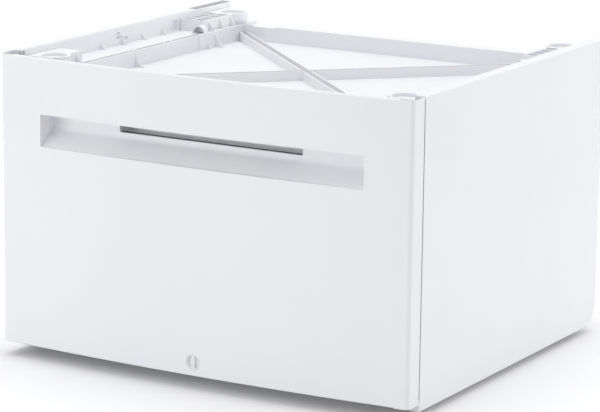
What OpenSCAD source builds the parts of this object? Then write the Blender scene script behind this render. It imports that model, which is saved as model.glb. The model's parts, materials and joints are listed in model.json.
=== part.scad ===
// Pull-out drawer pedestal that a front-loading washing machine stands on.
// Millimetres. X to the right, Y to the rear, Z up; the origin is on the floor under the middle.

/* [Body] */
// Width over the two side panels
body_w = 600; // [560:5:660]
// Depth from the front of the bowed drawer to the rear edges
body_d = 550; // [530:5:620]
// Height from the floor to the top of the side panels
body_h = 400; // [384:2:440]
// Thickness of panels, rails, posts and drawer sheets
sheet_t = 1; // [0.8:0.1:1.4]
// Outside radius of the folds in the sheet
bend_r = 2; // [1.6:0.1:3]
// Width of the folded edge round each side panel
fold_w = 14; // [10:1:16]
// Radius of the lower rear corner of each side panel
heel_r = 30; // [16:2:36]
// Length of top fold left off at the rear of the left panel
open_fold = 94; // [40:2:110]

/* [Drawer front] */
// Lower edge of the front above the lower edges of the side panels
front_rise = 10; // [6:1:14]
// Side panel top down to the top of the front
front_dip = 1.5; // [0.5:0.5:3]
// How far the middle of the front stands ahead of its corners
front_bow = 12; // [6:1:20]
// Depth of the front's side returns
front_return = 27; // [22:1:34]
// Slit between the front and the side panels
front_slit = 2; // [1.5:0.5:4]
// Radius of the front's upright corners
front_corner_r = 6; // [4:0.5:10]
// Length left off the top and bottom folds at each corner
corner_relief = 19; // [12:1:30]
// Width of the bottom fold behind the front's corners
front_fold = 16; // [10:1:20]
// Depth of the lip along the front's top edge
front_lip = 5; // [4:0.5:8]

/* [Handle] */
// Width of the recess
recess_w = 472; // [300:2:520]
// Height of the recess
recess_h = 42; // [36:1:60]
// From the top of the front down to the recess
recess_drop = 72.5; // [60:0.5:100]
// Depth of the recess behind the front's corners
recess_depth = 25; // [22:1:30]
// Slope of the recess floor, degrees
recess_slope = 35; // [20:1:45]
// Radius between the recess floor and its back
recess_r = 9; // [5:1:12]
// Wall of the moulded recess and finger cup
trough_t = 2.5; // [2:0.25:3]
// Width of the finger slot
slot_w = 268; // [120:2:280]
// Height of the finger slot
slot_h = 16.5; // [12:0.5:17]
// Depth of the finger cup behind the recess
cup_depth = 22; // [14:1:28]
// Rise of the hood above the recess, that finger tips hook behind
hood_rise = 16; // [10:1:18]

/* [Lock] */
// Diameter of the lock knob
knob_d = 19; // [16:0.5:24]
// Lock axis above the lower edge of the front
lock_rise = 18; // [16:0.5:22]
// Width of the knob's grip bar
bar_w = 5; // [3:0.5:7]
// Depth of the dish either side of the grip bar
dish_depth = 3; // [2:0.5:5]
// Diameter of the lock shaft
shaft_d = 8; // [6:0.5:8.5]
// Length of the cam over the shaft
cam_len = 26; // [20:1:27]
// Thickness of the cam
cam_t = 3; // [2:0.5:4]

/* [Top tray] */
// Side panel top down to the tray rim
rim_drop = 18; // [14:1:24]
// Side panel top down to the side decks
deck_drop = 24; // [20:1:28]
// Rim down to the tray floor
tray_depth = 27; // [22:1:32]
// Wall of the mouldings
mould_t = 2.5; // [2:0.25:3.5]
// From the outside of the body in to the tray
tray_inset = 60; // [52:1:80]
// From the rear edges forward to the tray
tray_back = 43; // [38:1:52]
// Height of the crossed ribs
rib_h = 12; // [8:1:16]
// Inside width between the two walls of a rib
rib_gap = 9; // [6:1:14]
// Thickness of ribs and gussets
rib_t = 2; // [1.5:0.25:3]
// Width of the slit in each deck
slit_w = 3; // [2:0.5:4]
// From the tray out to that slit
slit_in = 14; // [10:0.5:15]
// Bridge across that slit from its front end, and another from its rear end
front_bridge = 120; // [80:5:140]
rear_bridge = 70; // [40:5:100]
// Distance between the fins beside each deck
fin_pitch = 50; // [44:1:52]

/* [Foot blocks] */
// Side panel top down to the blocks
block_drop = 8; // [6:1:10]
// Length of the rear blocks' pocketed arm
rear_arm = 74; // [50:1:84]
// Length of the front blocks' pocketed arm
front_arm = 26; // [18:1:34]
// Length of a block's pad, front to rear
pad_len = 43; // [38:1:46]
// Diameter of the seat for a machine's foot
seat_d = 34; // [26:1:36]
// Depth of that seat
seat_depth = 4; // [2:0.5:6]
// From the outside of the body in to the seats
seat_inset = 43; // [40:1:50]
// From the front edges of the side panels back to the front seats
seat_front = 28.5; // [26:0.5:34]
// From the rear edges forward to the rear seats
seat_rear = 40.5; // [34:0.5:46]
// Wall between pockets
web_t = 2.5; // [2:0.25:3.5]

/* [Runners] */
// Room left behind the telescopic runners
runner_room = 53; // [46:1:90]
// Height of the outer runner member
runner_h = 45; // [41:1:52]
// Sheet of the runners
runner_t = 1.2; // [1:0.1:1.4]
// Running gap between the members
runner_gap = 0.4; // [0.3:0.05:0.6]
// Runner middle above the floor
runner_z = 100; // [90:1:130]
// Width of the posts that carry the runners
post_w = 15; // [14:1:20]

/* [Drawer box] */
// Gap between the front rail and the underside of the box
box_lift = 4; // [2:1:12]
// Height of the box sides
box_h = 200; // [150:2:205]
// Width of the folded top edge
hem_w = 8; // [5:1:12]

/* [Feet] */
// Floor to the lower edge of the side panels, feet screwed in
foot_drop = 8; // [8:0.5:14]
// Diameter of a foot's pad
pad_d = 42; // [36:1:50]
// Diameter of a foot's stud
stud_d = 10; // [8:0.5:12]
// Length of the stud above the pad
stud_len = 30; // [24:1:34]
// Foot axis in from the outside of the body
foot_inset = 35; // [32:1:38]
// Foot axis back from the front edges of the side panels
foot_back = 44; // [40:1:60]

/* [Hidden] */
$fn = 64;
arc_fn = 1440;
run_clear = 0.05;   // radius left round a turning shaft
body_gap = 0.3;     // between pieces that move past each other

half_t = sheet_t / 2;
half_w = body_w / 2;
in_w = half_w - sheet_t;
rim_x = half_w - bend_r;
z_bot = foot_drop;
z_top = body_h;
z_front0 = z_bot + front_rise;
z_front1 = z_top - front_dip;
y_front = -body_d / 2;
y_rear = body_d / 2;
y_corner = y_front + front_bow;
y_back = y_corner + front_return;
y_side = y_back + front_slit;
y_web = y_side + sheet_t;
y_in = y_web + sheet_t;
bow_r = (pow(half_w, 2) + pow(front_bow, 2)) / (2 * front_bow);
y_bow = y_front + bow_r;
bow_a = asin(half_w / bow_r) + 0.2;

rim_z = z_top - rim_drop;
deck_z = z_top - deck_drop;
floor_z = rim_z - tray_depth;
tray_z = floor_z - mould_t;
post_top = tray_z - sheet_t;
block_z = z_top - block_drop;
tray_half = half_w - tray_inset;
y_tray = y_rear - tray_back;
tray_mid = (y_in + y_tray) / 2;
shelf_z = deck_z - 3;
// place, width and height of the buttresses on the tray's side walls
buttresses = [[tray_mid - 45, 15, 24], [y_tray - 98, 10, 15], [y_tray - 78, 18, 25]];
low_stretch = [20, 56];
low_by = 2;
fold_rest = 1;      // of the decks' upstands under the side panels' folds
wall_x = half_w - fold_w + fold_rest - mould_t;

seat_x = half_w - seat_inset;
block_gap = 6;
block_x0 = tray_half + block_gap;
block_x1 = wall_x - 0.5;
front_pad = [for (s = [-1, 1]) y_side + seat_front + s * pad_len / 2];
rear_pad = [for (s = [-1, 1]) y_rear - seat_rear + s * pad_len / 2];
y_arm = rear_pad[0] - rear_arm;
hood_r = 10;
y_hood = y_arm - hood_r - 1;
y_liner = y_hood - 15;
liner_t = 1.5;
fin_back = 4;
front_fin = 12;
block_fin_pitch = 28;
slit_start = 76;
fixing_front = 79;
fixing_rear = 75;
fixing_d = 6;
fixing_drop = 12;
upstand_gap = [22, 7];
fin_start = 58;
fin_size = [12, 11];
clip_slot = [-21, -11];
clip_rise = [9.5, 17.5];
clip_r = 3;
hook_len = 15;
hook_t = 2;
hook_drop = [11, 17];
hook_w = 4;

base_z = z_bot + sheet_t;
base_t = 1.2;
base_x = half_w - foot_inset - stud_d;
base_lip = 20;
y_heel = y_rear - heel_r;
heel_z = z_bot + heel_r;
rail_d = 28;
post_d = 32;
post_hole = 8;
post_hole_drop = 60;
post_x = in_w - post_w;
y_post = y_tray - post_d;

recess_z1 = z_front1 - recess_drop;
recess_z0 = recess_z1 - recess_h;
y_recess = y_corner + recess_depth;
recess_lead = y_corner - 2;
backing_drop = 15;
slot_r = 2;
cup_r = 1;
cup_step = 1;
cup_x = slot_w / 2 + cup_step;
y_cup = y_recess + trough_t;
cup_top = recess_z1 + trough_t;
y_backing = y_back - 2 * sheet_t;
y_box = y_back - sheet_t;

lock_z = z_front0 + lock_rise;
cam_w = shaft_d - 1;
cam_y = y_in + 1;
cam_slot_w = cam_len + 6;
cam_slot_h = shaft_d + 3;
keeper_w = cam_slot_w + 20;
keeper_h = cam_slot_h + 20;
rail_window = [cam_slot_w + 8, cam_slot_h + 14];
knob_rim = 1.4;
housing_t = 3.5;
knob_len = 10;
rail_top = lock_z + cam_len / 2 + 9;

runner_x = post_x;
mid_x = runner_x - runner_t - runner_gap;
outer_tip = runner_x - 11;
mid_tip = outer_tip + runner_t + runner_gap;
runner_w = 12.7;
inner_x = runner_x - runner_w;
mid_hh = runner_h / 2 - runner_t - runner_gap;
curl = 2.7;
inner_hh = mid_hh - runner_t - runner_gap;
runner_bend = runner_t / 2 + 0.5;
runner_hole = 5;
y_run = y_in + 4;
runner_len = y_rear - runner_room - y_run;
outer_holes = [y_run + 12, y_run + runner_len / 2, y_post + post_d / 2];
middle_holes = [for (i = [1:3]) y_run + i * runner_len / 4];
inner_holes = [for (i = [0:3]) y_run + 30 + i * (runner_len - 60) / 3];

box_x = inner_x;
box_z = rail_top + box_lift;
y_box_rear = y_run + runner_len - 8;
bead_w = 18;
bead_h = 2;
bead_pitch = (box_x - 50) / 2.5;
bead_end = 60;
side_foot = 16;
bracket_w = 22;
bracket_in = 12;
return_lip = 10;

foot_x = half_w - foot_inset;
foot_y = [y_side + foot_back, y_heel - foot_inset + 4];
pad_h = foot_drop - 4;
hub_z = base_z - body_gap;
nut_h = 8;

// ---------- helpers ----------

// Box from one corner to the opposite one.
module block(a, b) { translate(a) cube(b - a); }

// Outlines drawn as (y, z), (x, z) and (x, y), given a thickness along the third axis.
module along_x(x, w) { translate([x, 0, 0]) rotate([90, 0, 90]) linear_extrude(w) children(); }
module along_y(y, d) { translate([0, y + d, 0]) rotate([90, 0, 0]) linear_extrude(d) children(); }
module along_z(z, h) { translate([0, 0, z]) linear_extrude(h) children(); }

// Rectangle between two corners, with round corners where r is given.
module area(a, b, r = 0) {
    if (r > 0) {
        translate([a.x + r, a.y]) square([b.x - a.x - 2 * r, b.y - a.y]);
        translate([a.x, a.y + r]) square([b.x - a.x, b.y - a.y - 2 * r]);
        for (x = [a.x + r, b.x - r], y = [a.y + r, b.y - r]) translate([x, y]) circle(r);
    } else translate(a) square(b - a);
}

// Folded strip of sheet in section: its middle line p, thickness t and bends of radius r to that line.
module strip(p, t = sheet_t, r = bend_r - sheet_t / 2) {
    n = len(p) - 1;
    u = [for (i = [0:n - 1]) (p[i + 1] - p[i]) / norm(p[i + 1] - p[i])];
    cut = [for (i = [0:n]) i == 0 || i == n ? 0 : r * tan(acos(u[i - 1] * u[i]) / 2)];
    for (i = [0:n - 1]) {
        a = p[i] + cut[i] * u[i];
        b = p[i + 1] - cut[i + 1] * u[i];
        side = [-u[i].y, u[i].x] * t / 2;
        if (norm(b - a) > 0.001) polygon([a + side, a - side, b - side, b + side]);
    }
    for (i = [1:n - 1]) {
        a = p[i] - cut[i] * u[i - 1];
        b = p[i] + cut[i] * u[i];
        c = p[i] + (a + b - 2 * p[i]) / norm(a + b - 2 * p[i]) * norm([r, cut[i]]);
        intersection() {
            translate(c) difference() {
                circle(r + t / 2);
                if (r > t / 2) circle(r - t / 2);
            }
            polygon([c, c + 2 * (a - c), c + 2 * (p[i] - c), c + 2 * (b - c)]);
        }
    }
}

module left() { mirror([1, 0, 0]) children(); }

// ---------- carcass ----------

// Section through the rim of a side panel: face, bend and fold, r from its origin to the outside.
module rim_section(r) {
    strip([[0, -half_t], [r - half_t, -half_t], [r - half_t, -fold_w]]);
}

// Pan of sheet, open to the inside, with a fold all round and a round heel.
module side_panel() {
    b = bend_r;
    centres = [[y_side + b, z_bot + b], [y_heel, heel_z], [y_rear - b, z_top - b],
        [y_side + b, z_top - b]];
    radii = [b, heel_r, b, b];
    along_x(half_w - sheet_t, sheet_t) {
        area([y_side + b, z_bot + b], [y_heel, z_top - b]);
        area([y_heel, heel_z], [y_rear - b, z_top - b]);
    }
    rotate([90, 0, 90]) translate([0, 0, half_w]) for (i = [0:3]) {
        j = (i + 1) % 4;
        outward = 270 + 90 * i;
        span = centres[j] - centres[i];
        translate(centres[i]) rotate(outward - 90) rotate_extrude(angle = 90) rim_section(radii[i]);
        translate(centres[j] + (radii[j] - b) * [cos(outward), sin(outward)])
            rotate(outward) rotate([90, 0, 0])
            linear_extrude(abs(i % 2 == 0 ? span.x : span.y)) rim_section(b);
    }
}

module side_panel_right() { color("white") side_panel(); }

module side_panel_left() {
    color("white") left() difference() {
        side_panel();
        block([half_w - fold_w - 1, y_rear - open_fold, z_top - sheet_t - 1],
              [in_w, y_rear - sheet_t, z_top + 1]);
    }
}

// Rear sheet with upright beads pressed inwards.
module rear_panel() {
    y = y_rear - 2 * sheet_t;
    bead_r = 7;
    color("white") along_z(heel_z + sheet_t, shelf_z - 2 * sheet_t - heel_z) {
        difference() {
            area([-rim_x, y], [rim_x, y + sheet_t]);
            for (x = [-2:2]) translate([x * body_w / 6, y + sheet_t]) circle(bead_r);
        }
        for (x = [-2:2]) translate([x * body_w / 6, y + sheet_t]) intersection() {
            difference() { circle(bead_r); circle(bead_r - sheet_t); }
            area([-bead_r, -bead_r], [bead_r, 0]);
        }
    }
}

// Channel across the front, with a window behind the lock keeper.
module base_rail_front() {
    flange = y_in + rail_d;
    color("silver") difference() {
        union() {
            along_x(-base_x, 2 * base_x)
                strip([[flange, base_z + half_t], [y_web + half_t, base_z + half_t],
                    [y_web + half_t, rail_top - half_t], [flange, rail_top - half_t]]);
            for (x = [-rim_x, base_x]) along_x(x, rim_x - base_x)
                area([y_web, base_z + bend_r], [y_in, rail_top - bend_r]);
        }
        along_y(y_web - 1, sheet_t + 2) translate([0, lock_z]) area(-rail_window / 2, rail_window / 2, 5);
    }
}

// Plate on the front rail, with the slot that the lock cam passes.
module lock_keeper() {
    color("silver") along_y(y_side, sheet_t) translate([0, lock_z]) difference() {
        area([-keeper_w / 2, -keeper_h / 2], [keeper_w / 2, keeper_h / 2], 4);
        area([-cam_slot_w / 2, -cam_slot_h / 2], [cam_slot_w / 2, cam_slot_h / 2], 3);
    }
}

// Stepped rail that ties the heels and carries the rear sheet.
module base_rail_rear() {
    y = y_heel - half_t;
    color("silver") along_x(-in_w, 2 * in_w)
        strip([[y_rear - 2 * sheet_t, heel_z + half_t], [y, heel_z + half_t], [y, base_z + bend_r]]);
    color("silver") along_x(-base_x, 2 * base_x)
        strip([[y, base_z + 2 * bend_r], [y, base_z + half_t], [y_heel - rail_d, base_z + half_t]]);
}

// Bottom channel with the two welded nuts that the feet screw into.
module base_side() {
    t = base_t;
    difference() {
        union() {
            along_y(y_in, y_heel - sheet_t - y_in)
                strip([[rim_x, base_z + t / 2], [base_x + t / 2, base_z + t / 2],
                    [base_x + t / 2, base_z + base_lip]], t, bend_r - t / 2);
            for (y = foot_y) translate([foot_x, y, base_z + t - 0.01])
                cylinder(d = stud_d * 2, h = nut_h, $fn = 6);
        }
        for (y = foot_y) translate([foot_x, y, base_z - 1])
            cylinder(d = stud_d + 2 * run_clear, h = nut_h + t + 3);
    }
}

module base_side_right() { color("silver") base_side(); }
module base_side_left() { color("silver") left() base_side(); }

// Upright channel against the side panel, from the base to the top rails.
module post(y) {
    z = base_z + base_t;
    x = post_x + half_t;
    difference() {
        along_z(z, post_top - z)
            strip([[in_w, y + half_t], [x, y + half_t],
                [x, y + post_d - half_t], [in_w, y + post_d - half_t]]);
        for (h = [runner_z + runner_h, post_top - post_hole_drop])
            along_x(post_x - 1, sheet_t + 2) translate([y + post_d / 2, h]) circle(d = post_hole);
    }
}

module post_front_right() { color("silver") post(y_in); }
module post_front_left() { color("silver") left() post(y_in); }
module post_rear_right() { color("silver") post(y_post); }
module post_rear_left() { color("silver") left() post(y_post); }

// Angle in front of the tray and under its edge.
module top_rail_front() {
    y = y_web + half_t;
    color("silver") along_x(-rim_x, 2 * rim_x)
        strip([[y, deck_z - mould_t], [y, post_top + half_t], [y_in + post_d, post_top + half_t]],
            r = half_t);
}

// Stepped rail: a flange under the tray, a web behind it and a shelf at the rear.
module top_rail_rear() {
    t = sheet_t;
    y = y_tray + half_t;
    color("silver") block([-in_w, y_post, post_top], [in_w, y_tray, tray_z]);
    color("white") along_x(-tray_half, 2 * tray_half)
        strip([[y_post, post_top + half_t], [y, post_top + half_t],
            [y, shelf_z - half_t], [y_rear - t, shelf_z - half_t]], r = half_t);
}

// ---------- moulded top ----------

// Gusset with a hollow edge, w wide and h high, in the corner of two walls.
module gusset(w, h) {
    steps = 6;
    polygon(concat([[0, 0]], [for (i = [0:steps])
        let (t = i / steps) [w * pow(1 - t, 1.5), h * pow(t, 1.5)]]));
}

// Crossed U-shaped ribs from corner to corner.
module crossed_ribs() {
    d = y_tray - y_in - 2 * mould_t;
    w = 2 * (tray_half - mould_t);
    mid = (y_tray + y_in) / 2;
    a = atan2(d, w);
    intersection() {
        along_z(floor_z - 0.01, rib_h) difference() {
            union() for (s = [-1, 1]) translate([0, mid]) rotate(s * a)
                area([-w, -rib_gap / 2 - rib_t], [w, rib_gap / 2 + rib_t]);
            for (s = [-1, 1]) translate([0, mid]) rotate(s * a)
                area([-w, -rib_gap / 2], [w, rib_gap / 2]);
        }
        block([-w / 2 - 0.01, y_in + mould_t - 0.01, floor_z - 1],
              [w / 2 + 0.01, y_tray - mould_t + 0.01, rim_z]);
    }
}

// Upper half of a disc.
module half_round(r) {
    intersection() { circle(r); area([-r, -0.01], [r, r]); }
}

module top_tray() {
    t = mould_t;
    color("whitesmoke") {
        difference() {
            block([-tray_half, y_in, tray_z], [tray_half, y_tray, rim_z]);
            block([-tray_half + t, y_in + t, floor_z], [tray_half - t, y_tray - t, rim_z + 1]);
            // low stretch of the rear wall by the left foot block
            block([-tray_half + low_stretch[0], y_tray - t - 1, rim_z - low_by],
                  [-tray_half + low_stretch[1], y_tray + 1, rim_z + 1]);
        }
        crossed_ribs();
        for (s = [0, 1]) mirror([s, 0, 0]) {
            wall = -tray_half + t - 0.01;
            // buttresses on the side walls, and a thicker wall by the rear blocks
            for (g = buttresses) translate([wall, 0, floor_z - 0.01])
                along_y(g[0], rib_t) gusset(g[1], g[2]);
            block([wall, y_liner, floor_z], [wall + liner_t, y_tray - t, rim_z]);
            // half-round hood from the rim to the deck, closed by the rear block
            translate([-tray_half + t - hood_r, 0, rim_z]) {
                along_y(y_hood, y_arm - y_hood) difference() {
                    half_round(hood_r);
                    circle(hood_r - rib_t);
                }
                along_y(y_arm - rib_t, rib_t) half_round(hood_r);
                block([-hood_r, y_hood, deck_z - rim_z], [rib_t - hood_r, y_arm, 0.01]);
            }
        }
    }
}

// Deck beside the tray: legs on the cross rails, upstand under the panel's fold, fins and a long slit.
module side_deck() {
    t = mould_t;
    y1 = y_rear - 2 * sheet_t;
    slit = [y_side + slit_start, y_hood];
    stretches = [[slit[0], slit[0] + front_bridge],
        [slit[0] + front_bridge + 3, slit[1] - rear_bridge - 3],
        [slit[1] - rear_bridge, slit[1] - 1]];
    difference() {
        along_y(y_in, y1 - y_in) {
            area([tray_half, deck_z - t], [wall_x + t, deck_z]);
            area([wall_x, tray_z], [wall_x + t, z_top - sheet_t]);
            area([tray_half, tray_z], [tray_half + t, deck_z]);
        }
        // the legs stop behind the rear cross rail
        block([tray_half - 1, y_tray + sheet_t, tray_z - 1], [wall_x, y1 + 1, shelf_z - sheet_t]);
        for (s = stretches)
            block([tray_half + slit_in, s[0], deck_z - t - 1],
                  [tray_half + slit_in + slit_w, s[1], deck_z + 1]);
        // window in the upstand ahead of the rear block
        along_x(wall_x - 1, t + 2)
            area([y_arm - upstand_gap[0], deck_z + 3], [y_arm - upstand_gap[1], block_z], 1);
        // fixing holes in the upstand
        for (y = [y_side + fixing_front, y_rear - fixing_rear])
            along_x(wall_x - 1, t + 2) translate([y, z_top - fixing_drop]) circle(d = fixing_d);
        along_x(wall_x - 1, t + 2)
            area([tray_mid + clip_slot[0], deck_z + clip_rise[0]],
                 [tray_mid + clip_slot[1], deck_z + clip_rise[1]], clip_r);
    }
    for (i = [0:3]) translate([wall_x + 0.01, 0, deck_z - 0.01])
        along_y(tray_mid - fin_start + i * fin_pitch, rib_t)
            mirror([1, 0]) gusset(fin_size.x, fin_size.y);
    // hook beside the open slot
    hook = tray_mid + clip_slot[1];
    tip = z_top - hook_drop[0];
    along_x(wall_x - hook_w, hook_w + 0.01) {
        area([hook, tip - hook_t], [hook + hook_len, tip]);
        area([hook + hook_len - hook_t, z_top - hook_drop[1]], [hook + hook_len, tip]);
    }
}

module side_deck_right() { color("whitesmoke") side_deck(); }
module side_deck_left() { color("whitesmoke") left() side_deck(); }

// Plan of a foot block: an arm along the deck and a pad, round about its seat.
module block_plan(y0, y1, pad) {
    r = pad_len / 2;
    area([block_x0, y0], [block_x1, y1]);
    area([seat_x, pad[0]], [block_x1, pad[1]]);
    translate([seat_x, pad[0] + r]) circle(r);
}

// Block with a grid of pockets in its arm and a round seat in its pad.
module foot_block(y0, y1, pad, cols, rows) {
    a = (block_x1 - block_x0 - (cols + 1) * web_t) / cols;
    arm = pad[0] > y0 + 1 ? [y0, pad[0]] : [pad[1], y1];
    b = (arm[1] - arm[0] - (rows + 1) * web_t) / rows;
    difference() {
        union() {
            along_z(rim_z + 1, block_z - rim_z - 1) block_plan(y0, y1, pad);
            along_z(deck_z, rim_z + 1.01 - deck_z) intersection() {
                block_plan(y0, y1, pad);
                area([block_x0, y0 - 1], [half_w, y1 + 1]);
            }
        }
        for (i = [0:cols - 1], j = [0:rows - 1])
            translate([block_x0 + web_t + i * (a + web_t), arm[0] + web_t + j * (b + web_t),
                deck_z + mould_t]) cube([a, b, block_z - deck_z]);
        translate([seat_x, pad[0] + pad_len / 2, block_z - seat_depth])
            cylinder(d = seat_d, h = seat_depth + 1);
    }
}

// Fin from a block down to the tray's rim.
module block_fin(y) {
    translate([block_x0 + 0.01, 0, rim_z]) along_y(y, rib_t) mirror([1, 0])
        gusset(block_gap + mould_t, block_z - rim_z - 1);
}

module rear_block() {
    foot_block(y_arm, rear_pad[1], rear_pad, 2, 4);
    for (i = [0:2]) block_fin(rear_pad[0] - fin_back - block_fin_pitch * i);
}

module front_block() {
    foot_block(front_pad[0], front_pad[1] + front_arm, front_pad, 2, 1);
    block_fin(front_pad[1] + front_fin);
}

module foot_block_rear_right() { color("gainsboro") rear_block(); }
module foot_block_rear_left() { color("gainsboro") left() rear_block(); }
module foot_block_front_right() { color("gainsboro") front_block(); }
module foot_block_front_left() { color("gainsboro") left() front_block(); }

// ---------- runners ----------

// C-shaped member with curled lips: back at x, arms h half-high reaching in to x0.
module runner_c(x, x0, h, tip) {
    t = runner_t;
    m = t / 2;
    strip([[x0 + m, -h + t + tip], [x0 + m, -h + m], [x - m, -h + m], [x - m, h - m], [x0 + m, h - m],
        [x0 + m, h - t - tip]], t, runner_bend);
}

module runner(x, x0, h, tip, holes) {
    difference() {
        along_y(y_run, runner_len) translate([0, runner_z]) runner_c(x, x0, h, tip);
        for (y = holes) along_x(x - runner_t - 1, runner_t + 2) translate([y, runner_z])
            circle(runner_hole / 2);
    }
}

module runner_outer() { runner(runner_x, outer_tip, runner_h / 2, 0.6, outer_holes); }
module runner_outer_right() { color("silver") runner_outer(); }
module runner_outer_left() { color("silver") left() runner_outer(); }

module runner_middle() { runner(mid_x, mid_tip, mid_hh, curl - runner_t / 2, middle_holes); }
module runner_middle_right() { color("silver") runner_middle(); }
module runner_middle_left() { color("silver") left() runner_middle(); }

// Hat-shaped inner member, its flat crown on the drawer side.
module runner_inner() {
    t = runner_t;
    m = t / 2;
    x = mid_x - runner_t - runner_gap - 1 - m;
    h = mid_hh - runner_t - curl - runner_gap;
    difference() {
        along_y(y_run, runner_len) translate([0, runner_z])
            strip([[x, -inner_hh], [x, -h], [inner_x + m, -h],
                [inner_x + m, h], [x, h], [x, inner_hh]], t, runner_bend);
        for (y = inner_holes) along_x(inner_x - 1, t + 2) translate([y, runner_z])
            circle(runner_hole / 2);
    }
}

module runner_inner_right() { color("silver") runner_inner(); }
module runner_inner_left() { color("silver") left() runner_inner(); }

// ---------- drawer front ----------

// Plan of the drawer front, drawn in by d: an arc with round corners and straight returns.
module front_plan(d = 0, y1 = y_back) {
    r = front_corner_r - d;
    hw = half_w - d;
    big = bow_r - d;
    yk = y_bow - sqrt(pow(big - r, 2) - pow(hw - r, 2));
    intersection() {
        translate([0, y_bow]) circle(big, $fn = arc_fn);
        area([-(hw - r), y_front - 1], [hw - r, y1]);
    }
    for (s = [-1, 1]) translate([s * (hw - r), yk]) circle(r);
    area([-hw, yk], [hw, y1]);
}

// Bowed sheet with a lip along its top, a fold along its bottom, open corners and upright returns.
module drawer_front_skin() {
    t = sheet_t;
    flat = half_w - corner_relief;
    fold = bow_r - front_bow - front_fold - 5;   // inner edge of the bottom fold, cut straight behind
    low = z_front0 + half_t;
    high = z_front1 - half_t;
    color("white") difference() {
        union() {
            intersection() {
                translate([0, y_bow, 0]) rotate(-90 - bow_a)
                    rotate_extrude(angle = 2 * bow_a, $fn = arc_fn)
                    strip([[fold, low], [bow_r - half_t, low], [bow_r - half_t, high],
                        [bow_r - front_lip, high]]);
                block([-flat, y_front - 1, z_bot], [flat, y_corner + front_fold, z_top]);
            }
            along_z(z_front0, z_front1 - z_front0) difference() {
                front_plan();
                front_plan(t, y_back + 1);
                area([-flat, y_front - 1], [flat, y_back + 1]);
            }
            // returns turned in at the rear
            for (s = [-1, 1]) translate([s > 0 ? half_w - return_lip : -half_w, y_back - t, z_front0])
                cube([return_lip, t, z_front1 - z_front0]);
        }
        along_y(y_front - 1, front_return + front_bow) {
            area([-recess_w / 2, recess_z0], [recess_w / 2, recess_z1], 2);
            translate([0, lock_z]) circle(knob_d / 2 + body_gap);
        }
    }
}

// Flat sheet that closes the front's back, inside the turned-in returns.
module drawer_front_backing() {
    t = sheet_t;
    x = half_w - t - 0.2;
    color("white") along_y(y_backing, t) difference() {
        area([-x, z_front0 + t], [x, z_front1 - backing_drop]);
        area([-recess_w / 2 - trough_t, recess_z0 - 4 * trough_t],
             [recess_w / 2 + trough_t, recess_z1 + trough_t]);
        translate([0, lock_z]) circle(shaft_d / 2 + body_gap);
    }
}

// Recess seen from the end, grown by d: a short lead, a sloping floor, a curve and an upright back.
module recess_profile(d = 0) {
    r = recess_r + d;
    c = [y_recess - recess_r, recess_z0 + tan(recess_slope) * (y_recess - recess_r - recess_lead)
         + recess_r / cos(recess_slope)];
    foot = c + r * [sin(recess_slope), -cos(recess_slope)];
    lead_z = recess_z0 - d;
    lead_y = foot.x - (foot.y - lead_z) / tan(recess_slope);
    polygon([[y_front - 2, lead_z], [lead_y, lead_z], foot, c, [y_recess + d, c.y],
             [y_recess + d, recess_z1 + d], [y_front - 2, recess_z1 + d]]);
    translate(c) circle(r);
}

module handle_recess() {
    t = trough_t;
    color("gainsboro") difference() {
        intersection() {
            along_x(-recess_w / 2 - t, recess_w + 2 * t) recess_profile(t);
            along_z(recess_z0 - 60, recess_h + 120) front_plan(sheet_t, y_back + 40);
        }
        along_x(-recess_w / 2, recess_w) recess_profile();
        along_y(y_recess - 1, t + 2)
            area([-slot_w / 2, recess_z1 - slot_h], [slot_w / 2, recess_z1 + t + slot_r], slot_r);
    }
}

// Lower half of the finger cup behind the slot, open to the recess and at the top.
module finger_cup() {
    t = trough_t;
    z0 = recess_z1 - slot_h - cup_step;
    color("gainsboro") difference() {
        block([-cup_x - t, y_cup, z0 - t], [cup_x + t, y_cup + cup_depth + t, cup_top]);
        along_x(-cup_x, 2 * cup_x)
            area([y_cup - 2 * cup_r, z0], [y_cup + cup_depth, cup_top + 2 * cup_r], cup_r);
    }
}

// Upper half: its front wall hangs behind the front, and finger tips hook over it from below.
module finger_hood() {
    t = trough_t;
    top = recess_z1 + hood_rise;
    color("gainsboro") difference() {
        block([-cup_x - t, y_cup, cup_top], [cup_x + t, y_cup + cup_depth + t, top + t]);
        along_x(-cup_x, 2 * cup_x)
            area([y_cup + t, cup_top - 2 * cup_r], [y_cup + cup_depth, top], cup_r);
    }
}

// ---------- drawer box ----------

// Round-ended bead in the bottom, drawn in by d.
module bead(x, d = 0) {
    r = bead_w / 2 - d;
    ends = [y_box + bead_end, y_box_rear - bead_end];
    for (y = ends) translate([x, y]) circle(r);
    area([x - r, ends[0]], [x + r, ends[1]]);
}

module drawer_bottom() {
    t = sheet_t;
    z = box_z + t;
    x = box_x - t - bend_r;
    color("whitesmoke") difference() {
        union() {
            block([-x, y_box, z], [x, y_box_rear, z + t]);
            for (i = [-2:2]) along_z(z, bead_h + t) bead(i * bead_pitch);
        }
        for (i = [-2:2]) along_z(z - 1, bead_h + 1) bead(i * bead_pitch, t);
    }
}

// Side of the box: a foot turned in under the bottom and a hem turned in at the top.
module drawer_side() {
    x = box_x - half_t;
    hem = box_x - hem_w + half_t;
    z = box_z + box_h;
    along_y(y_box, y_box_rear - y_box)
        strip([[box_x - side_foot, box_z + half_t], [x, box_z + half_t],
            [x, z - half_t], [hem, z - half_t], [hem, z - hem_w + 2]]);
}

module drawer_side_right() { color("whitesmoke") drawer_side(); }
module drawer_side_left() { color("whitesmoke") left() drawer_side(); }

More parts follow.
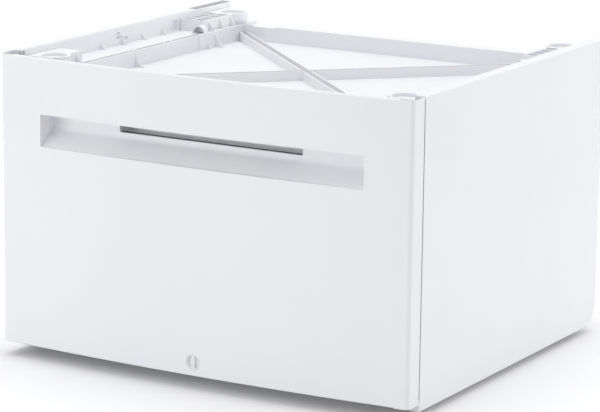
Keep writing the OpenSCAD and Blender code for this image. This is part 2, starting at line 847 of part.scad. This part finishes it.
// Back of the box, standing on the bottom between the sides, with the same hem.
module drawer_back() {
    w = box_x - sheet_t;
    y = y_box_rear - half_t;
    hem = y_box_rear - hem_w + half_t;
    z = box_z + box_h - hem_w;
    color("whitesmoke") along_x(-w, 2 * w)
        strip([[y, box_z + 2 * sheet_t], [y, z - half_t], [hem, z - half_t], [hem, z - hem_w + 2]]);
}

// Angle that ties a side of the box to the front.
module front_bracket() {
    x = box_x - sheet_t;
    z = [box_z + bracket_in, box_z + box_h - bracket_in];
    along_z(z[0], z[1] - z[0])
        strip([[x - bracket_w, y_box + half_t], [x - half_t, y_box + half_t],
            [x - half_t, y_box + bracket_w]]);
}

module front_bracket_right() { color("silver") front_bracket(); }
module front_bracket_left() { color("silver") left() front_bracket(); }

// ---------- lock ----------

module turned(y, d, len) { translate([0, y + len, lock_z]) rotate([90, 0, 0]) cylinder(d = d, h = len); }

module lock_housing() {
    color("gainsboro") difference() {
        intersection() {
            turned(y_front, knob_d + 2 * housing_t, y_backing - y_front);
            along_z(z_front0, 2 * lock_rise) front_plan(sheet_t);
        }
        turned(y_front - 1, knob_d + 2 * body_gap, knob_len + 1 + body_gap);
        turned(y_front, shaft_d + 2 * run_clear, front_bow + front_return);
    }
}

// Dished knob with a grip bar across it, on its shaft.
module lock_knob() {
    color("white") difference() {
        union() {
            turned(y_front, knob_d, knob_len);
            turned(y_front + knob_len - 1, shaft_d, cam_y - y_front - knob_len + 1);
        }
        difference() {
            turned(y_front - 1, knob_d - 2 * knob_rim, dish_depth + 1);
            block([-bar_w / 2, y_front - 2, lock_z - knob_d],
                  [bar_w / 2, y_front + knob_len, lock_z + knob_d]);
        }
    }
}

module lock_cam() {
    color("silver") along_y(cam_y, cam_t) translate([0, lock_z]) {
        area([-cam_len / 2, -cam_w / 2], [cam_len / 2, cam_w / 2], 3);
        circle(d = shaft_d);
    }
}

// ---------- feet ----------

// Round pad, a hexagon for the spanner and the stud that screws into the base.
module foot(y) {
    r = pad_d / 2;
    s = stud_d / 2;
    translate([foot_x, y, 0]) {
        rotate_extrude() polygon([[0, 0], [r - 1, 0], [r, 1], [r, pad_h - 1], [r - 1, pad_h],
            [s + 6, pad_h], [s + 3, hub_z], [s, hub_z],
            [s, pad_h + stud_len - 1], [s - 1, pad_h + stud_len], [0, pad_h + stud_len]]);
        translate([0, 0, pad_h - 0.01]) cylinder(d = stud_d * 2, h = (hub_z - pad_h) * 0.6, $fn = 6);
    }
}

module foot_front_right() { color("dimgray") foot(foot_y[0]); }
module foot_front_left() { color("dimgray") left() foot(foot_y[0]); }
module foot_rear_right() { color("dimgray") foot(foot_y[1]); }
module foot_rear_left() { color("dimgray") left() foot(foot_y[1]); }

// ---------- assembly ----------

side_panel_left();
side_panel_right();
rear_panel();
base_rail_front();
base_rail_rear();
lock_keeper();
base_side_left();
base_side_right();
post_front_left();
post_front_right();
post_rear_left();
post_rear_right();
top_rail_front();
top_rail_rear();
side_deck_left();
side_deck_right();
top_tray();
foot_block_front_left();
foot_block_front_right();
foot_block_rear_left();
foot_block_rear_right();
runner_outer_left();
runner_outer_right();
runner_middle_left();
runner_middle_right();
runner_inner_left();
runner_inner_right();
drawer_front_skin();
drawer_front_backing();
handle_recess();
finger_cup();
finger_hood();
drawer_bottom();
drawer_side_left();
drawer_side_right();
drawer_back();
front_bracket_left();
front_bracket_right();
lock_housing();
lock_knob();
lock_cam();
foot_front_left();
foot_front_right();
foot_rear_left();
foot_rear_right();
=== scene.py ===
"""Washer pedestal drawer: finishes, small hardware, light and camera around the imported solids."""

import json
import math

import bpy
from mathutils import Matrix, Vector


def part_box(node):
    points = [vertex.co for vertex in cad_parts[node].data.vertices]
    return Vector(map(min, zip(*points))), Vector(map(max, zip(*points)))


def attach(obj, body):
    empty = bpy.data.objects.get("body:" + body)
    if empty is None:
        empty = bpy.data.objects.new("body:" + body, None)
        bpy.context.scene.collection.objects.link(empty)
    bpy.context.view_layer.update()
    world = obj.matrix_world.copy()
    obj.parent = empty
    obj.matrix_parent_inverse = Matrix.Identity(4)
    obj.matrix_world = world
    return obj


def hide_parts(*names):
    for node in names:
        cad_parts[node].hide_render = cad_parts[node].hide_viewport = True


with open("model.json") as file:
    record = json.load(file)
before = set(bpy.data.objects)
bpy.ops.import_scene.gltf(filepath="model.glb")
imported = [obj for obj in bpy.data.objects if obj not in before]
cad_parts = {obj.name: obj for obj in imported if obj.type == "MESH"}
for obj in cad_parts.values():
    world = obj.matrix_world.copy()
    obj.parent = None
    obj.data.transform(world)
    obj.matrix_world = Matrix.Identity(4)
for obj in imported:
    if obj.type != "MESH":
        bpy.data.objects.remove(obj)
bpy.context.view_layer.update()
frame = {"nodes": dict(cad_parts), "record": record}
nodes = frame["nodes"]

MM = 0.001


# ---------------------------------------------------------------- camera

IMAGE_W = 600  # pixels
FOCAL_PX = 2958.57
SENSOR_W = 36  # mm
CLIP = (0.1, 60)
EYE = Vector((1.9087, -3.3035, 1.0363))
YAW, PITCH, ROLL = 0.5255, -0.2194, 0.0125


def add_camera():
    ahead = Vector((-math.sin(YAW), math.cos(YAW), 0))
    right = Vector((math.cos(YAW), math.sin(YAW), 0))
    up = Vector((0, 0, 1))
    forward = math.cos(PITCH) * ahead + math.sin(PITCH) * up
    above = -math.sin(PITCH) * ahead + math.cos(PITCH) * up
    right, above = (math.cos(ROLL) * right + math.sin(ROLL) * above,
                    -math.sin(ROLL) * right + math.cos(ROLL) * above)
    data = bpy.data.cameras.new("camera")
    data.sensor_fit = "HORIZONTAL"
    data.sensor_width = SENSOR_W
    data.lens = FOCAL_PX / IMAGE_W * SENSOR_W
    data.clip_start, data.clip_end = CLIP
    camera = bpy.data.objects.new("camera", data)
    bpy.context.scene.collection.objects.link(camera)
    turn = Matrix((right, above, -forward)).transposed().to_4x4()
    camera.matrix_world = Matrix.Translation(EYE) @ turn
    bpy.context.scene.camera = camera


add_camera()


# ---------------------------------------------------------------- shader helpers

class Value:
    """A node socket that takes part in arithmetic; each operator adds a Math node."""

    def __init__(self, shader, socket):
        self.shader, self.socket = shader, socket

    def _math(self, operation, *values):
        return self.shader.node("ShaderNodeMath", {"operation": operation},
                                {i: v for i, v in enumerate(values)})

    def __add__(self, other): return self._math("ADD", self, other)
    def __sub__(self, other): return self._math("SUBTRACT", self, other)
    def __mul__(self, other): return self._math("MULTIPLY", self, other)
    def most(self, other): return self._math("MAXIMUM", self, other)


class Shader:
    """One material or world and its node tree."""

    def __init__(self, owner):
        owner.use_nodes = True
        self.owner = owner
        self.tree = owner.node_tree
        self.tree.nodes.clear()

    def node(self, kind, settings=None, inputs=None, output=0):
        """Adds a node: its settings first, then the values or links of its sockets."""
        n = self.tree.nodes.new(kind)
        for name, value in (settings or {}).items():
            setattr(n, name, value)
        for name, value in (inputs or {}).items():
            if isinstance(value, Value):
                self.tree.links.new(value.socket, n.inputs[name])
            else:
                n.inputs[name].default_value = value
        return Value(self, n.outputs[output]) if len(n.outputs) else None

    def place(self, scale=(1, 1, 1), turn=(0, 0, 0)):
        """Object coordinates, scaled and turned."""
        here = self.node("ShaderNodeTexCoord", output="Object")
        return self.node("ShaderNodeMapping", None,
                         {"Vector": here, "Scale": scale, "Rotation": turn})

    def noise(self, where, scale, detail, rough):
        return self.node("ShaderNodeTexNoise", None,
                         {"Vector": where, "Scale": scale, "Detail": detail, "Roughness": rough})

    def mix(self, share, first, second):
        """Colour mix."""
        n = self.tree.nodes.new("ShaderNodeMix")
        n.data_type = "RGBA"
        for socket, value in ((n.inputs[0], share), (n.inputs[6], first), (n.inputs[7], second)):
            if isinstance(value, Value):
                self.tree.links.new(value.socket, socket)
            else:
                socket.default_value = (*value, 1)
        return Value(self, n.outputs[2])

    def spread(self, value, low, high, to_low=0.0, to_high=1.0):
        """Maps a value from one range to another, held at the ends."""
        return self.node("ShaderNodeMapRange", {"clamp": True},
                         {0: value, 1: low, 2: high, 3: to_low, 4: to_high})

    def bump(self, height):
        """Surface relief; height is in millimetres."""
        return self.node("ShaderNodeBump", None, {"Strength": 1.0, "Distance": MM, "Height": height})

    def surface(self, colour, roughness, **sockets):
        inputs = {"Base Color": colour if isinstance(colour, Value) else (*colour, 1),
                  "Roughness": roughness}
        inputs.update(sockets)
        made = self.node("ShaderNodeBsdfPrincipled", None, inputs)
        self.node("ShaderNodeOutputMaterial", None, {"Surface": made})
        return self.owner


def material(name):
    return Shader(bpy.data.materials.new(name))


# ---------------------------------------------------------------- finishes

def painted_sheet():
    """White enamel on steel: orange peel, a faint drift in tone and gloss, and a few specks."""
    m = material("painted_sheet")
    here = m.place()
    drift = m.noise(here, 3.5, 3, 0.55)
    haze = m.noise(here, 38, 4, 0.6)
    peel = m.noise(here, 620, 2, 0.45)
    wave = m.noise(here, 9, 1, 0.4)
    specks = m.spread(m.noise(here, 900, 1, 0.5), 0.74, 0.80)
    tone = m.mix(m.spread(drift, 0.3, 0.7), (0.850, 0.858, 0.885), (0.876, 0.881, 0.904))
    tone = m.mix(specks * 0.25, tone, (0.60, 0.60, 0.60))
    height = peel * 0.006 + wave * 0.06
    return m.surface(tone, m.spread(haze, 0.3, 0.7, 0.30, 0.40),
                     **{"Coat Weight": 0.25, "Coat Roughness": 0.16, "IOR": 1.5,
                        "Normal": m.bump(height)})


def moulded_white():
    """White polypropylene: fine spark-eroded grain, with slow shade changes and a few scuffs."""
    m = material("moulded_white")
    here = m.place()
    drift = m.noise(here, 6, 3, 0.6)
    grain = m.noise(here, 1500, 3, 0.6)
    scuffs = m.spread(m.noise(m.place((4, 60, 60), (0.3, 0.2, 0.7)), 7, 4, 0.7), 0.60, 0.72)
    tone = m.mix(m.spread(drift, 0.3, 0.7), (0.845, 0.853, 0.876), (0.878, 0.883, 0.902))
    tone = m.mix(scuffs * 0.08, tone, (0.62, 0.63, 0.64))
    return m.surface(tone, m.spread(grain, 0.3, 0.7, 0.42, 0.54) - scuffs * 0.06,
                     **{"IOR": 1.49, "Subsurface Weight": 0.06, "Subsurface Scale": 0.004,
                        "Normal": m.bump(grain * 0.014 + drift * 0.05)})


def gloss_white():
    """Smoother white plastic of the knob, a little worn by fingers in fine streaks."""
    m = material("gloss_white")
    here = m.place()
    smear = m.noise(m.place((60, 60, 400)), 2.0, 3, 0.6)
    grain = m.noise(here, 1100, 2, 0.5)
    tone = m.mix(m.spread(smear, 0.35, 0.7), (0.86, 0.87, 0.885), (0.80, 0.81, 0.825))
    return m.surface(tone, m.spread(smear, 0.3, 0.7, 0.22, 0.34),
                     **{"IOR": 1.52, "Coat Weight": 0.1, "Normal": m.bump(grain * 0.004)})


def zinc_steel():
    """Zinc-plated sheet: rolling lines, broad spangle and dull patches."""
    m = material("zinc_steel")
    here = m.place()
    spangle = m.node("ShaderNodeTexVoronoi", {"feature": "F1"}, {"Vector": here, "Scale": 95.0}, "Color")
    grey = m.node("ShaderNodeRGBToBW", None, {"Color": spangle})
    rolling = m.noise(m.place((6, 900, 900)), 1.0, 3, 0.6)
    dull = m.spread(m.noise(here, 11, 4, 0.65), 0.42, 0.68)
    bright = m.mix(grey * 0.55, (0.60, 0.615, 0.64), (0.72, 0.73, 0.745))
    tone = m.mix(dull * 0.35, bright, (0.50, 0.50, 0.505))
    return m.surface(tone, m.spread(rolling, 0.3, 0.7, 0.30, 0.42) + dull * 0.14,
                     **{"Metallic": 1.0, "Normal": m.bump(rolling * 0.006 + grey * 0.003)})


def black_foot():
    """Black foot plastic with a fine grain and a dusty bloom."""
    m = material("black_foot")
    here = m.place()
    grain = m.noise(here, 1300, 3, 0.6)
    dust = m.spread(m.noise(here, 45, 4, 0.7), 0.45, 0.75)
    tone = m.mix(dust * 0.5, (0.030, 0.031, 0.034), (0.085, 0.084, 0.082))
    return m.surface(tone, m.spread(grain, 0.3, 0.7, 0.50, 0.68),
                     **{"Normal": m.bump(grain * 0.03)})


def painted_shade_black():
    """Black sheet that stands for painted shade in gaps and slits, with a faint grain."""
    m = material("painted_shade_black")
    here = m.place()
    grain = m.noise(here, 900, 2, 0.5)
    return m.surface(m.mix(grain, (0.05, 0.05, 0.055), (0.08, 0.08, 0.085)), 0.5,
                     Normal=m.bump(grain * 0.01))


FINISH = {"body_white": painted_sheet(), "moulding_white": moulded_white(), "runner_steel": zinc_steel(),
          "knob_white": gloss_white(), "foot_black": black_foot()}
# black of the strips of painted shade
PAINTED_SHADE = painted_shade_black()


# ---------------------------------------------------------------- mesh helpers

SMOOTH_ANGLE = 35  # degrees; softer edges than this are shaded smooth
BEVEL_ANGLE = 40  # degrees; sharper edges than this are eased
MERGE_WITHIN = 1e-5
FLAT_WITHIN = 0.3  # degrees


def alone(obj):
    """Makes obj the only selected and the active object."""
    bpy.ops.object.select_all(action="DESELECT")
    obj.select_set(True)
    bpy.context.view_layer.objects.active = obj
    return obj


def edit(obj, *steps):
    """Runs mesh operators in edit mode on the whole mesh."""
    alone(obj)
    bpy.ops.object.mode_set(mode="EDIT")
    bpy.ops.mesh.select_all(action="SELECT")
    for step in steps:
        step()
    bpy.ops.object.mode_set(mode="OBJECT")


def add_modifier(obj, kind, **settings):
    alone(obj)
    made = obj.modifiers.new(kind.lower(), kind)
    for name, value in settings.items():
        setattr(made, name, value)
    bpy.ops.object.modifier_apply(modifier=made.name)


def smooth(obj):
    alone(obj)
    bpy.ops.object.shade_smooth_by_angle(angle=math.radians(SMOOTH_ANGLE))


def body_of_node(node):
    return next(b for b, members in frame["record"]["behaviour"]["bodies"].items() if node in members)


def slot_of_node(node):
    return next(s["material_slot"] for s in frame["record"]["subparts"] if s["node"] == node)


def ease(obj, width, segments, angle=BEVEL_ANGLE):
    """Rounds the edges that are sharper than angle, in degrees."""
    add_modifier(obj, "BEVEL", width=width, segments=segments, limit_method="ANGLE",
                 angle_limit=math.radians(angle))


def finish_node(node, bevel, reshape=None):
    """Copy of a solid with its loose triangles joined and its sharp edges eased by bevel, in mm."""
    obj = nodes[node].copy()
    obj.data = nodes[node].data.copy()
    obj.parent = None
    for key in list(obj.keys()):
        del obj[key]
    obj.name = obj.data.name = node + "_finished"
    bpy.context.scene.collection.objects.link(obj)
    edit(obj, lambda: bpy.ops.mesh.remove_doubles(threshold=MERGE_WITHIN),
         lambda: bpy.ops.mesh.dissolve_limited(angle_limit=math.radians(FLAT_WITHIN)))
    if reshape:
        reshape(obj)
    ease(obj, bevel * MM, 2)
    smooth(obj)
    add_modifier(obj, "WEIGHTED_NORMAL", keep_sharp=True, weight=60)
    obj.data.materials.clear()
    obj.data.materials.append(FINISH[slot_of_node(node)])
    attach(obj, body_of_node(node))
    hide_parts(node)
    slot_of_node(node)
    return obj


# ---------------------------------------------------------------- pieces

for name, obj in nodes.items():
    obj.data.materials.clear()
    obj.data.materials.append(FINISH[slot_of_node(name)])

SIDES = {"left": -1, "right": 1}
NEAR = 0.5 * MM  # what lies this near to a plane counts as on it
RIM_Z, RIM_LOW = 382 * MM, 5 * MM
HOODS_ABOVE, BUTTRESS_BELOW, FINS_BELOW = 12 * MM, 5.5 * MM, 2.5 * MM
SLIT_X, SLIT_IN = (254 * MM, 257 * MM), 10 * MM


def lower_rim(obj, below=FINS_BELOW, above=NEAR):
    """Brings the tray's rim, and what stands on it, down to just above the decks."""
    for v in obj.data.vertices:
        if RIM_Z - below < v.co.z < RIM_Z + above:
            v.co.z -= RIM_LOW


def shift_slit(obj):
    """Brings the deck's long slit close to the tray."""
    for v in obj.data.vertices:
        if SLIT_X[0] - NEAR < abs(v.co.x) < SLIT_X[1] + NEAR:
            v.co.x -= math.copysign(SLIT_IN, v.co.x)


EASED = {"lock_knob": 0.5, "lock_housing": 0.3, "handle_recess": 0.35, "finger_cup": 0.3, "finger_hood": 0.3,
         "drawer_front_skin": 0.2}  # mm
for name, width in EASED.items():
    finish_node(name, width)
finish_node("top_tray", 0.35, reshape=lambda tray: lower_rim(tray, BUTTRESS_BELOW, HOODS_ABOVE))
for side in SIDES:
    finish_node("side_deck_" + side, 0.35, reshape=shift_slit)
    for end in ("front", "rear"):
        finish_node("foot_block_%s_%s" % (end, side), 0.5, reshape=lower_rim)


def own(obj, name, body, finish):
    """Names a new piece, gives it its finish and lets it ride on a body."""
    obj.name = obj.data.name = name
    obj.data.materials.clear()
    obj.data.materials.append(finish)
    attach(obj, body)
    return obj


def rounded_plate(low, high, radius):
    """Plate between two corners, its edges rounded."""
    bpy.ops.object.select_all(action="DESELECT")
    bpy.ops.mesh.primitive_cube_add(size=1)
    plate = bpy.context.object
    low, high = Vector(low), Vector(high)
    for v in plate.data.vertices:
        v.co = (low + high) / 2 + Vector(c * s for c, s in zip(v.co, high - low))
    ease(plate, radius, 3)
    smooth(plate)
    return plate


def mirrored_pair(low, high, side):
    """Corners of a plate given for the right-hand side, on either side."""
    xs = sorted((side * low[0], side * high[0]))
    return (xs[0], low[1], low[2]), (xs[1], high[1], high[2])


EDGE = 0.3 * MM  # radius of the plates' edges

# small moulded plates on either side of the carcass, as low and high corner on the right-hand side in mm
PLATES = {
    # floor of the shallow window in the upstand, ahead of the rear foot block
    "window_floor": ((287, 115, 377), (288.2, 134, 394)),
    # clip in the upstand's slot, and the tongue on it
    "clip_plate": ((287, -23, 383), (288.2, -9, 396)),
    "clip_tongue": ((285, -18.4, 387.4), (287.4, -9.5, 391.6)),
    # lid over the front foot block's pockets
    "pocket_lid": ((248, -182, 388.6), (282, -160, 391.9)),
}
# black strips of painted shade, put where the gaps and the slit fall in shade, given the same way
PAINTED_SHADE_STRIPS = {
    # painted shade in the gap on the panel's front fold, that the drawer front closes against
    "front_seal": ((291, -235.8, 24), (299.8, -234, 396)),
    # painted shade in the three stretches of the deck's long slit
    "slit_seal_front": ((243.9, -157, 373.2), (247.1, -51, 375.6)),
    "slit_seal_middle": ((243.9, -43, 373.2), (247.1, 36, 375.6)),
    "slit_seal_rear": ((243.9, 44, 373.2), (247.1, 126, 375.6)),
}
# the black strips of painted shade take the black feet's slot
LISTS = ((PLATES, FINISH["moulding_white"], "moulding_white"), (PAINTED_SHADE_STRIPS, PAINTED_SHADE, "foot_black"))
for side, s in SIDES.items():
    for table, finish, slot in LISTS:
        for name, (low, high) in table.items():
            plate = rounded_plate(*mirrored_pair([c * MM for c in low], [c * MM for c in high], s), EDGE)
            own(plate, name + "_" + side, "carcass", finish)

# painted shade along the foot of the finger slot, inside the cup: a black strip where the slot's edge falls
# in shade
CUP_WALL, CUP_SHADE_BACK = 2.5 * MM, 0.2 * MM
CUP_SHADE_DEEP, CUP_SHADE_T = 8 * MM, 0.8 * MM
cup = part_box("finger_cup")
low = Vector(cup[0]) + Vector((CUP_WALL, CUP_SHADE_BACK, CUP_WALL))
high = (cup[1][0] - CUP_WALL, low.y + CUP_SHADE_DEEP, low.z + CUP_SHADE_T)
own(rounded_plate(low, high, EDGE), "cup_slot_shade", "drawer", PAINTED_SHADE)


HEAD_R, HEAD_H = 3.6 * MM, 2.2 * MM
CROSS_LEN, CROSS_W, CROSS_DEEP = 4 * MM, 0.8 * MM, 0.7 * MM


def cross_blade(turn):
    """One arm of the recess, centred on the top of a screw's head."""
    bpy.ops.object.select_all(action="DESELECT")
    bpy.ops.mesh.primitive_cube_add(size=1)
    blade = bpy.context.object
    rise = HEAD_H / 2 - CROSS_DEEP + MM
    for v in blade.data.vertices:
        v.co = turn @ Vector((v.co.x * CROSS_LEN, v.co.y * CROSS_W, v.co.z * 2 * MM + rise))
    return blade


def pan_screw(name, place, facing):
    """Pan-head screw of the drawer with a crossed recess, its head standing off a wall along facing."""
    bpy.ops.object.select_all(action="DESELECT")
    bpy.ops.mesh.primitive_cylinder_add(vertices=32, radius=HEAD_R, depth=HEAD_H)
    head = bpy.context.object
    ease(head, HEAD_H / 2, 4, 60)
    for degrees in (0, 90):
        blade = cross_blade(Matrix.Rotation(math.radians(degrees), 3, "Z"))
        add_modifier(head, "BOOLEAN", object=blade, operation="DIFFERENCE", solver="EXACT")
        bpy.data.objects.remove(blade)
    smooth(head)
    facing = Vector(facing)
    turn = facing.to_track_quat("Z", "Y").to_matrix().to_4x4()
    head.data.transform(Matrix.Translation(Vector(place) + facing * HEAD_H / 2) @ turn)
    own(head, name, "drawer", FINISH["runner_steel"])


# screws through the front brackets and through the runners' inner members
SCREWS = 4  # in a row
SHEET = 1 * MM
BRACKET_ROW = (0.12, 0.25)  # first screw and pitch, as shares of the bracket's height
SIDE_LEG, FRONT_LEG = 14 * MM, 8 * MM  # from the bracket's edges in to the rows
RUNNER_END = 30 * MM


def reach(box):
    """Least and greatest distance of a node from the middle plane."""
    return sorted((abs(box[0][0]), abs(box[1][0])))


for side, s in SIDES.items():
    bracket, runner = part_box("front_bracket_" + side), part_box("runner_inner_" + side)
    inner, outer = reach(bracket)
    crown = reach(runner)[0] - SHEET
    front, foot = bracket[0][1], bracket[0][2]
    middle = (runner[0][2] + runner[1][2]) / 2
    pitch = (runner[1][1] - runner[0][1] - 2 * RUNNER_END) / (SCREWS - 1)
    for i in range(SCREWS):
        z = foot + (bracket[1][2] - foot) * (BRACKET_ROW[0] + BRACKET_ROW[1] * i)
        tail = "_%s_%d" % (side, i)
        pan_screw("bracket_screw_side" + tail, (s * (outer - SHEET), front + SIDE_LEG, z), (-s, 0, 0))
        pan_screw("bracket_screw_front" + tail, (s * (inner + FRONT_LEG), front + SHEET, z), (0, 1, 0))
    for i in range(SCREWS):
        y = runner[0][1] + RUNNER_END + i * pitch
        pan_screw("runner_screw_%s_%d" % (side, i), (s * crown, y, middle), (-s, 0, 0))


# ---------------------------------------------------------------- stage and light

FLOOR_SIZE, FLOOR_Z = 40, -0.5 * MM
FLOOR_NEAR, FLOOR_FAR = 0.9, 2.6  # where the floor starts to fade to plain white, and where it ends
DOME_LIGHT = 0.72


def add_floor():
    bpy.ops.object.select_all(action="DESELECT")
    bpy.ops.mesh.primitive_plane_add(size=FLOOR_SIZE, location=(0, 0, FLOOR_Z))
    floor = bpy.context.object
    floor.name = "floor"
    m = material("floor")
    paths = m.node("ShaderNodeLightPath", output="Is Camera Ray")
    here = m.place()
    away = m.node("ShaderNodeVectorMath", {"operation": "LENGTH"}, {0: here}, "Value")
    far = m.spread(away, FLOOR_NEAR, FLOOR_FAR)
    diffuse = m.node("ShaderNodeBsdfDiffuse", None, {"Color": (0.92, 0.92, 0.92, 1)})
    lift = m.node("ShaderNodeEmission", None, {"Color": (1, 1, 1, 1), "Strength": 0.10})
    near = m.node("ShaderNodeAddShader", None, {0: diffuse, 1: lift})
    plain = m.node("ShaderNodeEmission", None, {"Color": (1, 1, 1, 1), "Strength": 1.0})
    seen = m.node("ShaderNodeMixShader", None, {0: far, 1: near, 2: plain})
    bounce = m.node("ShaderNodeBsdfDiffuse", None, {"Color": (0.80, 0.80, 0.80, 1)})
    out = m.node("ShaderNodeMixShader", None, {0: paths, 1: bounce, 2: seen})
    m.node("ShaderNodeOutputMaterial", None, {"Surface": out})
    floor.data.materials.append(m.owner)


def add_world():
    world = bpy.data.worlds.new("studio")
    bpy.context.scene.world = world
    m = Shader(world)
    camera = m.node("ShaderNodeLightPath", output="Is Camera Ray")
    glossy = m.node("ShaderNodeLightPath", output="Is Glossy Ray")
    through = m.node("ShaderNodeLightPath", output="Is Transmission Ray")
    seen = camera.most(glossy).most(through)
    light = m.node("ShaderNodeBackground", None, {"Color": (0.98, 0.98, 1, 1), "Strength": DOME_LIGHT})
    white = m.node("ShaderNodeBackground", None, {"Color": (1, 1, 1, 1), "Strength": 1.0})
    both = m.node("ShaderNodeMixShader", None, {0: seen, 1: light, 2: white})
    m.node("ShaderNodeOutputWorld", None, {"Surface": both})


def add_lamp(name, place, aim, size, power):
    data = bpy.data.lights.new(name, "AREA")
    data.shape, data.size, data.size_y = "RECTANGLE", *size
    data.energy = power
    lamp = bpy.data.objects.new(name, data)
    bpy.context.scene.collection.objects.link(lamp)
    lamp.location = place
    lamp.visible_glossy = False
    lamp.rotation_euler = (Vector(aim) - Vector(place)).to_track_quat("-Z", "Y").to_euler()


add_floor()
add_world()
add_lamp("top_softbox", (-0.3, 0.3, 3.0), (0, 0, 0.2), (3.0, 3.0), 38)
add_lamp("front_softbox", (-1.9, -2.9, 0.27), (0, 0, 0.22), (2.4, 0.5), 27)
add_lamp("right_softbox", (3.0, 1.7, 0.30), (0, 0, 0.22), (2.4, 0.55), 30)

bpy.context.scene.view_settings.view_transform = "Standard"
